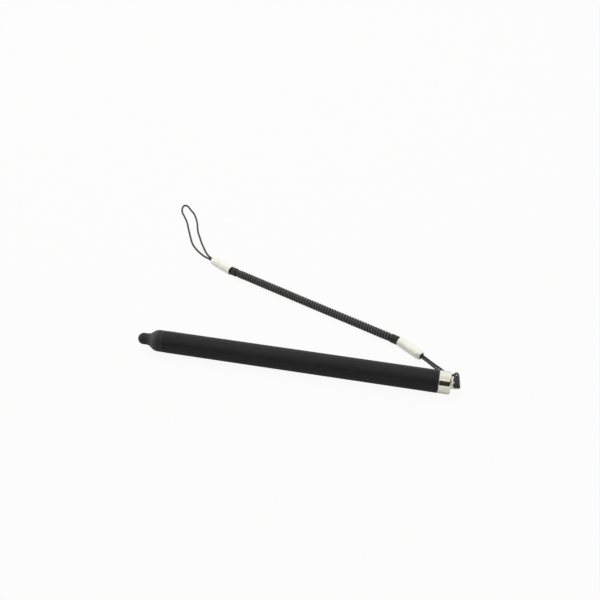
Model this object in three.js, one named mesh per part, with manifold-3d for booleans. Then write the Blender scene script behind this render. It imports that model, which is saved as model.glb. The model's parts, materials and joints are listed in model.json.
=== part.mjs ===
// Tethered stylus: a passive touch pen lying on its side, with a coiled tether on a chrome eye.
// Millimetres, +Z up. The pen lies along X with its touch end at -X and its lowest facet on z = 0.
import * as THREE from 'three';
import { mergeVertices } from 'three/addons/utils/BufferGeometryUtils.js';
import Module from 'manifold-3d';

const wasm = await Module();
wasm.setup();

// Pen body
const AXIS_HEIGHT = 4.5;
const BARREL_RADIUS = 4.5;
const BARREL_BORE = 3.6;
const NOSE_SEAM_X = -53.7;
const NOSE_LENGTH = 12.05;
const TIP_X = NOSE_SEAM_X - NOSE_LENGTH;
const CAP_SEAM_X = 57.3;
const CAP_REAR_X = 62.05;
const EAR_TIP_X = 65.75;
const SEAM_GAP = 0.3;
const RIM_CHAMFER = 0.25;
const BODY_SIDES = 48;

// Nose and its metal core, distances from the touch end
const BALL_RADIUS = 2.4;
const NOSE_RADIUS = 4.45;
const DOME_HOLLOW = 1.5;
const STEM_BORE = 1.6;
const STEM_RADIUS = 1.3;
const BARB_RADIUS = 1.8;
const BARB_BORE = 2.1;
const FLANGE_BORE = 3.0;
const FLANGE_RADIUS = 2.7;
const SPIGOT_RADIUS = 3.3;
const SPIGOT_GROOVE = 2.9;
const CORE_SPIGOT_END = 21.0;
const NOSE_SIDES = 40;
const CORE_SIDES = 32;

// Chrome end cap with its ear
const CAP_RADIUS = 4.47;
const CAP_ROUND = 0.8;
const CAP_SPIGOT_LENGTH = 8.0;
const EAR_HALF_HEIGHT = 2.1;
const EAR_CORNER = 1.7;
const EAR_THICKNESS = 1.9;
const EAR_BEVEL = 0.25;
const EYE_X = 64.0;
const EYE_RADIUS = 1.2;

// Thin cord of the strap and of the device loop
const CORD_DIAMETER = 0.9;
const STRAND_SPACING = 1.06;
const CORD_SIDES = 8;
const KNOT_RADIUS = 1.4;
const KNOT_HALF_LENGTH = 1.6;
const KNOT_DEPTH = 2.75;

// Ferrules and collars
const FERRULE_RADIUS = 2.1;
const FERRULE_BORE = 1.7;
const FERRULE_LENGTH = 12.0;
const MOUTH_RADIUS = 1.75;
const MOUTH_WALL = 0.8;
const MOUTH_HOLE = 1.25;
const COLLAR_RADIUS = 1.86;
const COLLAR_BORE = 1.71;
const COLLAR_FLOOR = 0.45;
const PLUG_RADIUS = 1.25;
const PLUG_BORE = 0.9;
const PLUG_LENGTH = 2.3;
const SMALL_SIDES = 32;

// Coiled cord
const COIL_RADIUS = 1.2;
const COIL_NECK_RADIUS = 1.0;
const COIL_WIRE = 1.2;
const COIL_PITCH = 1.74;
const COIL_STEPS = 8;
const COIL_SIDES = 5;
const COIL_END_RUN = 2.05;
const COIL_LEAD = 2.2;
const COIL_NECK_END = 2.9;
const COIL_NECK_LEAD = 1.6;
const COIL_LOW = 1.87;

// Places of the tether's pieces: middles and headings of the ferrules. Each collar leans in its ferrule.
const LOWER_MIDDLE = [44.74, 18.92];
const LOWER_HEADING = 143.5;
const LOWER_COLLAR = { heading: 156.0, length: 3.2, standOff: 0.62, aside: 0.25 };
const UPPER_MIDDLE = [-46.5, 57.18];
const UPPER_HEADING = 150.3;
const UPPER_COLLAR = { heading: 338.5, length: 2.6, standOff: 0.5, aside: 0.11 };
const TETHER_HEIGHT = 2.1;

const MATERIALS = {
  rubber: { color: 0x2f2f30, roughness: 0.62, metalness: 0.0 },
  steel: { color: 0xb9babc, roughness: 0.3, metalness: 1.0 },
  barrel: { color: 0x232325, roughness: 0.42, metalness: 0.0 },
  chrome: { color: 0xe6e6e2, roughness: 0.08, metalness: 1.0 },
  cord: { color: 0x1c1c1e, roughness: 0.75, metalness: 0.0 },
  collar: { color: 0x202022, roughness: 0.5, metalness: 0.0 },
  coil: { color: 0x3a3b3d, roughness: 0.45, metalness: 0.0 },
};

const group = new THREE.Group();

function addMesh(name, geometry, look) {
  const mesh = new THREE.Mesh(geometry, new THREE.MeshStandardMaterial(MATERIALS[look]));
  mesh.name = name;
  group.add(mesh);
}

function radians(degrees) {
  return (degrees * Math.PI) / 180;
}

// A heading in the horizontal plane as a unit vector.
function headingVector(degrees) {
  return new THREE.Vector3(Math.cos(radians(degrees)), Math.sin(radians(degrees)), 0);
}

// Turned piece: profile of [radius, distance] revolved about its own axis, which is laid along +X.
// Radii are to the flats, and one flat faces down.
function turned(profile, sides) {
  const outward = 1 / Math.cos(Math.PI / sides);
  const points = profile.map(([r, x]) => new THREE.Vector2(r * outward, x));
  const geometry = new THREE.LatheGeometry(points, sides, Math.PI / sides);
  geometry.rotateZ(-Math.PI / 2);
  return geometry;
}

// Puts a turned piece's origin at a place, with its axis along a heading.
function laidAt(geometry, place, heading) {
  geometry.rotateZ(radians(heading));
  geometry.translate(place.x, place.y, place.z);
  return geometry;
}

function solidOf(geometry) {
  const bare = geometry.clone();
  bare.deleteAttribute('normal');
  bare.deleteAttribute('uv');
  const merged = mergeVertices(bare, 1e-4);
  const index = merged.index.array;
  const kept = [];
  for (let i = 0; i < index.length; i += 3) {
    const [a, b, c] = [index[i], index[i + 1], index[i + 2]];
    if (a !== b && b !== c && c !== a) kept.push(a, b, c);
  }
  const vertProperties = Float32Array.from(merged.attributes.position.array);
  const triVerts = Uint32Array.from(kept);
  return new wasm.Manifold(new wasm.Mesh({ numProp: 3, vertProperties, triVerts }));
}

function geometryOf(solid) {
  const mesh = solid.getMesh();
  const geometry = new THREE.BufferGeometry();
  geometry.setAttribute('position', new THREE.BufferAttribute(Float32Array.from(mesh.vertProperties), 3));
  geometry.setIndex(new THREE.BufferAttribute(Uint32Array.from(mesh.triVerts), 1));
  geometry.computeVertexNormals();
  return geometry;
}

// Regular polygon as a tube's section.
function roundSection(radius, sides) {
  const points = [];
  for (let i = 0; i < sides; i += 1) {
    const a = (2 * Math.PI * (i + 0.5)) / sides;
    points.push(new THREE.Vector2(radius * Math.cos(a), radius * Math.sin(a)));
  }
  return new THREE.Shape(points);
}

function tubeAlong(curve, radius, sides, steps) {
  return new THREE.ExtrudeGeometry(roundSection(radius, sides), {
    steps,
    bevelEnabled: false,
    extrudePath: curve,
  });
}

// Outer line of the rubber nose: ball, slight neck, flare and shoulder, then a short cylinder.
function noseOutline() {
  const ball = [];
  for (let i = 0; i <= 8; i += 1) {
    const a = radians(i * 14);
    ball.push([BALL_RADIUS * Math.sin(a), BALL_RADIUS * (1 - Math.cos(a))]);
  }
  const neckAndFlare = [
    [2.35, 3.3], [2.37, 3.95], [2.48, 4.65], [2.75, 5.35], [3.15, 6.0],
    [3.62, 6.6], [4.03, 7.25], [4.32, 8.0], [NOSE_RADIUS, 8.9],
  ];
  return [...ball.slice(0, -1), ...neckAndFlare];
}

function conductiveTip() {
  const end = NOSE_LENGTH - SEAM_GAP / 2;
  const dome = [];
  for (let i = 0; i <= 5; i += 1) {
    const a = radians(i * 18);
    dome.push([DOME_HOLLOW * Math.sin(a), BALL_RADIUS - DOME_HOLLOW * Math.cos(a)]);
  }
  const inside = [
    [STEM_BORE, 3.8], [STEM_BORE, 6.8], [BARB_BORE, 6.95], [BARB_BORE, 8.25],
    [STEM_BORE, 8.4], [STEM_BORE, 9.8], [FLANGE_BORE, 9.8], [FLANGE_BORE, end],
  ];
  const outside = [...noseOutline(), [NOSE_RADIUS, end - 0.2], [NOSE_RADIUS - 0.2, end]];
  const profile = [...outside, ...inside.reverse(), ...dome.reverse()];
  const geometry = turned(profile, NOSE_SIDES);
  geometry.translate(TIP_X, 0, AXIS_HEIGHT);
  addMesh('conductive_tip', geometry, 'rubber');
}

function tipCore() {
  const seam = NOSE_LENGTH;
  const profile = [
    [0, 4.1], [0.9, 4.1], [STEM_RADIUS, 4.5], [STEM_RADIUS, 7.25], [BARB_RADIUS, 7.4],
    [BARB_RADIUS, 7.8], [STEM_RADIUS, 7.95], [STEM_RADIUS, 10.15], [FLANGE_RADIUS, 10.15],
    [FLANGE_RADIUS, seam + 0.25], [SPIGOT_RADIUS, seam + 0.45], [SPIGOT_RADIUS, seam + 3.0],
    [SPIGOT_GROOVE, seam + 3.3], [SPIGOT_GROOVE, seam + 4.3], [SPIGOT_RADIUS, seam + 4.6],
    [SPIGOT_RADIUS, CORE_SPIGOT_END - 0.4], [SPIGOT_RADIUS - 0.4, CORE_SPIGOT_END], [0, CORE_SPIGOT_END],
  ];
  const geometry = turned(profile, CORE_SIDES);
  geometry.translate(TIP_X, 0, AXIS_HEIGHT);
  addMesh('tip_core', geometry, 'steel');
}

function barrel() {
  const front = NOSE_SEAM_X + SEAM_GAP / 2;
  const rear = CAP_SEAM_X - SEAM_GAP / 2;
  const profile = [
    [BARREL_BORE, front], [BARREL_RADIUS - RIM_CHAMFER, front], [BARREL_RADIUS, front + RIM_CHAMFER],
    [BARREL_RADIUS, rear - RIM_CHAMFER], [BARREL_RADIUS - RIM_CHAMFER, rear], [BARREL_BORE, rear],
    [BARREL_BORE, front],
  ];
  const geometry = turned(profile, BODY_SIDES);
  geometry.translate(0, 0, AXIS_HEIGHT);
  addMesh('barrel', geometry, 'barrel');
}

// A quarter turn of a corner, from one angle on, as outline points.
function cornerPoints(x, z, radius, from, count) {
  const points = [];
  for (let i = 0; i <= count; i += 1) {
    const a = from + (Math.PI * i) / (2 * count);
    points.push(new THREE.Vector2(x + radius * Math.cos(a), z + radius * Math.sin(a)));
  }
  return points;
}

// Flat ear behind the cap: a tongue with round corners, an eye through it and bevelled edges.
function earGeometry() {
  const root = CAP_REAR_X - 1.2;
  const half = EAR_HALF_HEIGHT - EAR_BEVEL;
  const corner = EAR_CORNER - EAR_BEVEL;
  const cornerX = EAR_TIP_X - EAR_CORNER;
  const outline = [
    new THREE.Vector2(root, -half),
    ...cornerPoints(cornerX, corner - half, corner, -Math.PI / 2, 9),
    ...cornerPoints(cornerX, half - corner, corner, 0, 9),
    new THREE.Vector2(root, half),
  ];
  const shape = new THREE.Shape(outline);
  const eye = [];
  for (let i = 0; i < 24; i += 1) {
    const a = (-2 * Math.PI * i) / 24;
    const r = EYE_RADIUS + EAR_BEVEL;
    eye.push(new THREE.Vector2(EYE_X + r * Math.cos(a), r * Math.sin(a)));
  }
  shape.holes.push(new THREE.Path(eye));
  const geometry = new THREE.ExtrudeGeometry(shape, {
    depth: EAR_THICKNESS - 2 * EAR_BEVEL,
    bevelEnabled: true,
    bevelThickness: EAR_BEVEL,
    bevelSize: EAR_BEVEL,
    bevelSegments: 2,
  });
  geometry.translate(0, 0, EAR_BEVEL - EAR_THICKNESS / 2);
  geometry.rotateX(Math.PI / 2);
  geometry.translate(0, 0, AXIS_HEIGHT);
  return geometry;
}

function endCap() {
  const shoulder = CAP_SEAM_X + SEAM_GAP / 2;
  const front = shoulder - CAP_SPIGOT_LENGTH;
  const rounded = [];
  for (let i = 0; i <= 4; i += 1) {
    const a = radians(i * 22.5);
    rounded.push([
      CAP_RADIUS - CAP_ROUND * (1 - Math.cos(a)),
      CAP_REAR_X - CAP_ROUND * (1 - Math.sin(a)),
    ]);
  }
  const profile = [
    [0, front], [SPIGOT_RADIUS - 0.4, front], [SPIGOT_RADIUS, front + 0.4], [SPIGOT_RADIUS, front + 3.0],
    [SPIGOT_GROOVE, front + 3.3], [SPIGOT_GROOVE, front + 4.3], [SPIGOT_RADIUS, front + 4.6],
    [SPIGOT_RADIUS, shoulder], [CAP_RADIUS - 0.15, shoulder], [CAP_RADIUS, shoulder + 0.15],
    ...rounded, [0, CAP_REAR_X],
  ];
  const body = turned(profile, BODY_SIDES);
  body.translate(0, 0, AXIS_HEIGHT);
  addMesh('end_cap', geometryOf(solidOf(body).add(solidOf(earGeometry()))), 'chrome');
}

// Where a ferrule's mouth (strap side) and its coil side are.
function ferruleEnds(middle, heading, mouthSide) {
  const along = headingVector(heading).multiplyScalar(FERRULE_LENGTH / 2);
  const centre = new THREE.Vector3(middle[0], middle[1], TETHER_HEIGHT);
  const mouth = centre.clone().addScaledVector(along, mouthSide);
  const coilSide = centre.clone().addScaledVector(along, -mouthSide);
  return { mouth, coilSide };
}

const LOWER = ferruleEnds(LOWER_MIDDLE, LOWER_HEADING, -1);
const UPPER = ferruleEnds(UPPER_MIDDLE, UPPER_HEADING, 1);

// Ferrule: thin tube, open at the coil side, tapered to a small hole at the mouth (distance 0).
function ferruleGeometry() {
  const profile = [
    [MOUTH_HOLE, 0], [MOUTH_RADIUS - 0.2, 0], [MOUTH_RADIUS, 0.2], [FERRULE_RADIUS, 1.6],
    [FERRULE_RADIUS, FERRULE_LENGTH - 0.2], [FERRULE_RADIUS - 0.15, FERRULE_LENGTH],
    [FERRULE_BORE, FERRULE_LENGTH], [FERRULE_BORE, MOUTH_WALL + 0.5], [MOUTH_HOLE, MOUTH_WALL],
    [MOUTH_HOLE, 0],
  ];
  return turned(profile, SMALL_SIDES);
}

function ferrules() {
  addMesh('lower_ferrule', laidAt(ferruleGeometry(), LOWER.mouth, LOWER_HEADING), 'chrome');
  addMesh('upper_ferrule', laidAt(ferruleGeometry(), UPPER.mouth, UPPER_HEADING + 180), 'chrome');
}

// Collar: cup for the coil's end turn (open at the far end) with a hollow plug behind its floor.
function collarGeometry(length) {
  const profile = [
    [0, -PLUG_LENGTH], [PLUG_RADIUS - 0.3, -PLUG_LENGTH], [PLUG_RADIUS, 0.3 - PLUG_LENGTH],
    [PLUG_RADIUS, 0], [COLLAR_RADIUS - 0.2, 0], [COLLAR_RADIUS, 0.2],
    [COLLAR_RADIUS, length - 0.1], [COLLAR_RADIUS - 0.06, length], [COLLAR_BORE, length],
    [COLLAR_BORE, COLLAR_FLOOR], [PLUG_BORE, COLLAR_FLOOR], [PLUG_BORE, COLLAR_FLOOR - PLUG_LENGTH],
    [0, COLLAR_FLOOR - PLUG_LENGTH],
  ];
  return turned(profile, SMALL_SIDES);
}

// A collar's shoulder stands off its ferrule's end face by more than its lean takes up, and a little aside
// of the ferrule's axis, so that the plug crosses that axis half way in.
function collarPlace(ends, collar) {
  const along = headingVector(collar.heading);
  const aside = new THREE.Vector3(-along.y, along.x, 0);
  const place = ends.coilSide.clone().addScaledVector(along, collar.standOff);
  return place.addScaledVector(aside, collar.aside);
}

const LOWER_SHOULDER = collarPlace(LOWER, LOWER_COLLAR);
const UPPER_SHOULDER = collarPlace(UPPER, UPPER_COLLAR);

function collars() {
  const lower = collarGeometry(LOWER_COLLAR.length);
  const upper = collarGeometry(UPPER_COLLAR.length);
  addMesh('lower_collar', laidAt(lower, LOWER_SHOULDER, LOWER_COLLAR.heading), 'collar');
  addMesh('upper_collar', laidAt(upper, UPPER_SHOULDER, UPPER_COLLAR.heading), 'collar');
}

// Points on a collar's axis, at distances from its shoulder.
function onCollarAxis(shoulder, collar, distances) {
  const along = headingVector(collar.heading);
  return distances.map((d) => shoulder.clone().addScaledVector(along, d));
}

// Centreline of the coil, from the floor of one plug bore to the other, resting on the surface in between.
function coilCentreline() {
  const depth = COLLAR_FLOOR - PLUG_LENGTH + 0.3;
  const near = onCollarAxis(LOWER_SHOULDER, LOWER_COLLAR, [depth, 0, LOWER_COLLAR.length]);
  const far = onCollarAxis(UPPER_SHOULDER, UPPER_COLLAR, [UPPER_COLLAR.length, 0, depth]);
  const between = [
    [30.6, 26.15, 2.0], [26.4, 27.9, 1.92], [21.6, 29.85, COIL_LOW], [13.5, 33.0, COIL_LOW],
    [4.1, 36.7, COIL_LOW], [-5.6, 40.5, COIL_LOW], [-14.6, 44.1, COIL_LOW], [-22.0, 47.0, COIL_LOW],
    [-27.0, 48.95, 1.92], [-31.9, 50.8, 2.0],
  ].map((p) => new THREE.Vector3(...p));
  return new THREE.CatmullRomCurve3([...near, ...between, ...far], false, 'centripetal');
}

class CoilCurve extends THREE.Curve {
  constructor(centreline) {
    super();
    this.centreline = centreline;
    this.centreline.arcLengthDivisions = 600;
    this.length = centreline.getLength();
    const wound = this.length - 2 * COIL_END_RUN - COIL_LEAD;
    this.turns = Math.round(wound / COIL_PITCH);
    this.arcLengthDivisions = Math.ceil((this.turns + 3) * 40);
  }

  // Helix about the centreline. Near both ends it narrows to fit its collar, closes in to the axis and runs straight.
  getPoint(t, target = new THREE.Vector3()) {
    const s = t * this.length;
    const u = THREE.MathUtils.clamp(t, 0, 1);
    const base = this.centreline.getPointAt(u);
    const tangent = this.centreline.getTangentAt(u);
    const side = new THREE.Vector3(0, 0, 1).cross(tangent).normalize();
    const up = tangent.clone().cross(side);
    const fromEnd = Math.min(s, this.length - s) - COIL_END_RUN;
    const open = THREE.MathUtils.smoothstep(fromEnd, 0, COIL_LEAD);
    const angle = (2 * Math.PI * this.turns * (s - COIL_END_RUN)) / (this.length - 2 * COIL_END_RUN);
    const wide = THREE.MathUtils.smoothstep(fromEnd, COIL_NECK_END, COIL_NECK_END + COIL_NECK_LEAD);
    const reach = COIL_NECK_RADIUS * open + (COIL_RADIUS - COIL_NECK_RADIUS) * wide;
    target.copy(base);
    target.addScaledVector(side, reach * Math.cos(angle));
    target.addScaledVector(up, reach * Math.sin(angle));
    return target;
  }
}

// Least distance of the coil's surface to itself, measured on points one third of a turn and more apart.
function leastGap(curve, perTurn) {
  const count = curve.turns * perTurn;
  const points = curve.getSpacedPoints(count);
  const skip = Math.ceil(perTurn * 0.55);
  let least = Infinity;
  for (let i = 0; i < points.length; i += 1) {
    const last = Math.min(points.length, i + 3 * perTurn);
    for (let j = i + skip; j < last; j += 1) {
      least = Math.min(least, points[i].distanceTo(points[j]));
    }
  }
  return least - COIL_WIRE;
}

function coilCord() {
  const curve = new CoilCurve(coilCentreline());
  console.log('coil turns', curve.turns, 'wire length', curve.getLength().toFixed(1));
  console.log('coil least gap to itself', leastGap(curve, 24).toFixed(3));
  const steps = Math.round(curve.turns * COIL_STEPS);
  addMesh('coil_cord', tubeAlong(curve, COIL_WIRE / 2, COIL_SIDES, steps), 'coil');
}

// The two strands at a ferrule's mouth, each straight out for two cord diameters and straight in to the knot.
function strandStart(mouth, outward, side) {
  const lateral = new THREE.Vector3(-outward.y, outward.x, 0).multiplyScalar((side * STRAND_SPACING) / 2);
  const place = mouth.clone().add(lateral);
  return [
    place.clone().addScaledVector(outward, -KNOT_DEPTH),
    place,
    place.clone().addScaledVector(outward, 2 * CORD_DIAMETER),
  ];
}

function knotGeometry(mouth, outward) {
  const profile = [];
  for (let i = 0; i <= 10; i += 1) {
    const a = (Math.PI * i) / 10;
    profile.push([KNOT_RADIUS * Math.sin(a), -KNOT_HALF_LENGTH * Math.cos(a)]);
  }
  profile[0][0] = 0;
  profile[10][0] = 0;
  const heading = (Math.atan2(outward.y, outward.x) * 180) / Math.PI;
  return laidAt(turned(profile, 16), mouth.clone().addScaledVector(outward, -KNOT_DEPTH), heading);
}

// A cord with both ends in one knot: out of the ferrule, round its route and back in.
function knottedCord(name, ends, heading, firstSide, route, steps) {
  const outward = headingVector(heading);
  const start = strandStart(ends.mouth, outward, firstSide);
  const finish = strandStart(ends.mouth, outward, -firstSide).reverse();
  const middle = route.map((p) => new THREE.Vector3(...p));
  const curve = new THREE.CatmullRomCurve3([...start, ...middle, ...finish], false, 'centripetal');
  curve.arcLengthDivisions = 1200;
  console.log(name, 'length', curve.getLength().toFixed(1));
  const tube = tubeAlong(curve, CORD_DIAMETER / 2, CORD_SIDES, steps);
  addMesh(name, geometryOf(solidOf(tube).add(solidOf(knotGeometry(ends.mouth, outward)))), 'cord');
}

// The strap passes the cap's rear edge, winds twice over the ear and through its eye, and comes back.
const STRAP_ROUTE = [
  [53.0, 13.1, 2.3], [55.2, 10.6, 2.85], [57.4, 8.3, 3.43], [59.4, 6.62, 3.85], [61.0, 5.85, 4.25],
  [62.4, 5.15, 4.8], [63.15, 4.4, 5.7], [63.7, 3.4, 6.8],
  [64.15, 2.15, 7.6], [64.4, 0.5, 7.8], [64.65, -1.0, 7.35], [64.85, -1.8, 6.3], [64.88, -1.85, 5.2],
  [64.65, -1.15, 4.4], [64.5, 0.1, 4.28], [64.4, 1.15, 4.4], [64.2, 1.85, 5.2], [63.85, 2.1, 6.2],
  [63.45, 1.6, 7.05], [63.3, 0.35, 7.48], [63.45, -1.25, 7.22], [63.75, -1.8, 6.1], [63.83, -1.75, 5.0],
  [63.6, -1.05, 4.3], [63.48, 0.2, 4.2], [63.4, 1.4, 4.1],
  [63.2, 2.6, 4.0], [62.9, 3.8, 3.95], [62.35, 4.75, 3.8], [61.1, 5.3, 3.4], [59.4, 5.78, 3.25],
  [57.4, 7.0, 3.13], [55.0, 9.4, 2.6], [52.4, 12.15, 2.25],
];

// The device loop comes down to the surface and lies on it in a long narrow bow.
const LOOP_ROUTE = [
  [-55.0, 61.85, 1.6], [-57.3, 63.8, 0.85], [-59.6, 65.8, 0.52], [-63.0, 69.0, 0.5], [-66.1, 72.9, 0.5],
  [-68.8, 78.1, 0.5], [-71.8, 84.4, 0.5], [-74.4, 89.9, 0.5], [-77.3, 94.6, 0.5], [-79.5, 98.0, 0.5],
  [-80.6, 101.5, 0.5], [-80.3, 104.1, 0.5], [-78.8, 104.0, 0.5], [-75.9, 100.9, 0.5], [-73.2, 97.8, 0.5],
  [-71.0, 94.1, 0.5], [-69.15, 90.3, 0.5], [-67.55, 85.8, 0.5], [-65.95, 82.0, 0.5], [-63.9, 78.1, 0.5],
  [-61.7, 74.0, 0.5], [-59.1, 69.7, 0.52], [-57.0, 66.4, 0.85], [-54.9, 63.4, 1.6],
];

function cords() {
  knottedCord('pen_strap', LOWER, LOWER_HEADING + 180, 1, STRAP_ROUTE, 104);
  knottedCord('device_loop', UPPER, UPPER_HEADING, 1, LOOP_ROUTE, 72);
}

conductiveTip();
tipCore();
barrel();
endCap();
ferrules();
collars();
coilCord();
cords();

export default group;
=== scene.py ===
"""Tethered stylus lying on its side: rubber nose, black barrel, chrome cap with an eye, and a coiled tether.

Metres, +Z up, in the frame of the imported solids. The pen lies along X with its touch end at -X.
"""

import json

import bpy
import numpy as np
from mathutils import Matrix, Vector


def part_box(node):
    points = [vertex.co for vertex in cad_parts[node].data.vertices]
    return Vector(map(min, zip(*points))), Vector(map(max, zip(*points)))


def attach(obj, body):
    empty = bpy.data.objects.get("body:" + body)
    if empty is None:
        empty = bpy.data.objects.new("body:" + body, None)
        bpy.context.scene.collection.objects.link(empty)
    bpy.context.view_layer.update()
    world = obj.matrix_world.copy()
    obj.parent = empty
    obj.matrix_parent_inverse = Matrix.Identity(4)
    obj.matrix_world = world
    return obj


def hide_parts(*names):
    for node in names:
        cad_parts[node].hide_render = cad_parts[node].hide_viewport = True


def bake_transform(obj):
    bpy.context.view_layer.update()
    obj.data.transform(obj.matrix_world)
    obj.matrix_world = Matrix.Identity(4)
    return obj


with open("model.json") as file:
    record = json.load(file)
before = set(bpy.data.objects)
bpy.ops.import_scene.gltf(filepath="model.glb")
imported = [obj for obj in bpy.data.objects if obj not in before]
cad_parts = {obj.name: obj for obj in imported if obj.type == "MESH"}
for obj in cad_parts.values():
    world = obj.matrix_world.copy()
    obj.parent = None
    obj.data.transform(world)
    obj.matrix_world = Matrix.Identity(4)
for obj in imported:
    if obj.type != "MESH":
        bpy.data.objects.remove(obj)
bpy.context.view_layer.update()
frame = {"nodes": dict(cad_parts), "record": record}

bl_info = {
    "name": "Tethered stylus",
    "version": (1, 0, 0),
    "blender": (4, 5, 0),
    "location": "3D View > Sidebar > Stylus",
    "description": "Builds a touch stylus with a chrome cap and a coiled tether, with its stage",
    "category": "Add Mesh",
}

MM = 0.001
RECORD_COLOURS = {m["slot"]: m["base_color"] for m in frame["record"]["materials"]}


# ---- sizes and finishes a user would change


def barrel_diameter_of_frame():
    """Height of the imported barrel's box, in metres."""
    low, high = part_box("barrel")
    return float(high.z - low.z)


def length_property(name, description, default, least, most):
    """A length in metres, kept between two limits."""
    return bpy.props.FloatProperty(
        name=name, description=description, default=default, min=least, max=most, precision=5, unit="LENGTH"
    )


def colour_property(name, description, slot):
    """A linear colour that starts as the record's colour for a material slot."""
    return bpy.props.FloatVectorProperty(
        name=name, description=description, default=RECORD_COLOURS[slot], subtype="COLOR", min=0.0, max=1.0
    )


class StylusSizes(bpy.types.PropertyGroup):
    """Sizes of the stylus and its tether"""

    barrel_diameter: length_property(
        "Barrel diameter", "Outside diameter of the black tube", barrel_diameter_of_frame(), 0.006, 0.014
    )
    cord_diameter: length_property(
        "Cord diameter", "Diameter of the braided cord of the strap and the device loop", 0.00094, 0.0005, 0.00096
    )
    ferrule_diameter: length_property(
        "Ferrule diameter", "Outside diameter of the two metal ferrules", 0.0042, 0.003, 0.006
    )
    coil_wire: length_property(
        "Coiled cord", "Diameter of the jacketed cord that the coil is wound from", 0.0012, 0.0008, 0.0014
    )
    coil_radius: length_property(
        "Coil radius", "Radius of the coil, from its middle to the middle of the wound cord", 0.00124, 0.001, 0.0013
    )
    braid_relief: bpy.props.FloatProperty(
        name="Braid relief",
        description="How far the yarns of the braided cord stand proud, as a share of its radius",
        default=0.09, min=0.0, max=0.2, subtype="FACTOR",
    )


class StylusFinishes(bpy.types.PropertyGroup):
    """Colours of the stylus, linear"""

    barrel_black: colour_property("Barrel", "Colour of the barrel's satin coat", "barrel_black")
    nose_rubber: colour_property("Nose", "Colour of the rubber nose", "nose_rubber")
    chrome: colour_property("Plating", "Colour of the plated cap and ferrules", "chrome")
    thin_cord: colour_property("Braided cord", "Colour of the strap and of the device loop", "thin_cord")
    collar_black: colour_property("Collars", "Colour of the sleeves at the coil's ends", "collar_black")
    coil_jacket: colour_property("Coil", "Colour of the coiled cord's jacket", "coil_jacket")


# ---- places, in millimetres
# They are those of the solids, but for the gap at the seams, the coil's pitch and the strap's route.

AXIS_HEIGHT = 4.5
TIP_X = -65.75
NOSE_SEAM_X = -53.7
CAP_SEAM_X = 57.3
CAP_REAR_X = 62.05
EAR_TIP_X = 65.75
SEAM_GAP = 0.12
RUBBED_RIM_INSET = 0.15
PEN_SIDES = 128
NOSE_SIDES = 96
FERRULE_SIDES = 72
CORD_SIDES = 24
COIL_SIDES = 12

BALL_RADIUS = 2.4
BALL_ARC = 98
NOSE_RADIUS = 4.45
NECK_AND_FLARE = (
    (2.35, 3.3), (2.37, 3.95), (2.48, 4.65), (2.75, 5.35), (3.15, 6.0),
    (3.62, 6.6), (4.03, 7.25), (4.32, 8.0), (4.45, 8.9),
)
FLARE_END = 9.8
WORN_END = (3.2, 0.6)
# Distances from the tip over which the painted highlight on the neck and flare grows and fades
NECK_HIGHLIGHT_GROWS = (4.1, 6.7)
NECK_HIGHLIGHT_FADES = (9.8, 7.2)
CORE_SEAT_RADIUS = 3.0
STEM_ROOM_RADIUS = 1.6
STEM_ROOM_END = 8.4
BARB_ROOM = ((2.1, 8.25), (2.1, 6.95), (1.6, 6.8), (1.6, 3.8))
DOME_RADIUS = 1.5
BARREL_BORE_RADIUS = 3.6

CAP_RADIUS = 4.47
SPIGOT_RADIUS = 3.3
SPIGOT_LENGTH = 8.0
GROOVE = ((3.3, 3.0), (2.9, 3.3), (2.9, 4.3), (3.3, 4.6))
EAR_HALF_HEIGHT = 2.1
EAR_CORNER = 1.7
EAR_THICKNESS = 1.9
EAR_ROOT_DEPTH = 1.2
EYE_X = 64.0
EYE_RADIUS = 1.2

FERRULE_LENGTH = 12.0
FERRULE_BORE_RADIUS = 1.7
FERRULE_TAPER = 1.6
FERRULE_MOUTH = ((1.75, 0.0), (1.25, 0.0), (1.25, 0.8), (1.7, 1.3))
COLLAR_RADIUS = 1.86
COLLAR_BORE = 1.71
COLLAR_FLOOR = 0.45
PLUG_RADIUS = 1.25
PLUG_BORE = 0.9
PLUG_LENGTH = 2.3
STRAND_SPACING = 1.06
STRAND_LEAD = 1.8
KNOT_DEPTH = 2.75
KNOT_RADIUS = 1.4
KNOT_HALF_LENGTH = 1.6
KNOT_LOBES = 5
KNOT_LOBE_HEIGHT = 0.07
TETHER_HEIGHT = 2.1
YARNS = 6
BRAID_CELLS = 1.6
FIBRE_WAVES = 8
HAIRLINES = ((0.35, 2600.0), (-0.5, 3300.0), (1.25, 2100.0))
HAIRLINE_ALONG = 90.0

COIL_PITCH = 1.24
COIL_END_RUN = 2.05
COIL_END_ROOM = 0.3
COIL_LIFT = 0.03
COIL_LEAD = 2.2
COIL_NECK_RADIUS = 1.06
COIL_NECK_END = 2.8
COIL_NECK_LEAD = 1.4

LOWER_MIDDLE = (44.74, 18.92)
LOWER_HEADING = 143.5
LOWER_COLLAR = {"heading": 156.0, "length": 3.2, "stand_off": 0.62, "aside": 0.25}
UPPER_MIDDLE = (-46.5, 57.18)
UPPER_HEADING = 150.3
UPPER_COLLAR = {"heading": 338.5, "length": 2.6, "stand_off": 0.5, "aside": 0.11}

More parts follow.
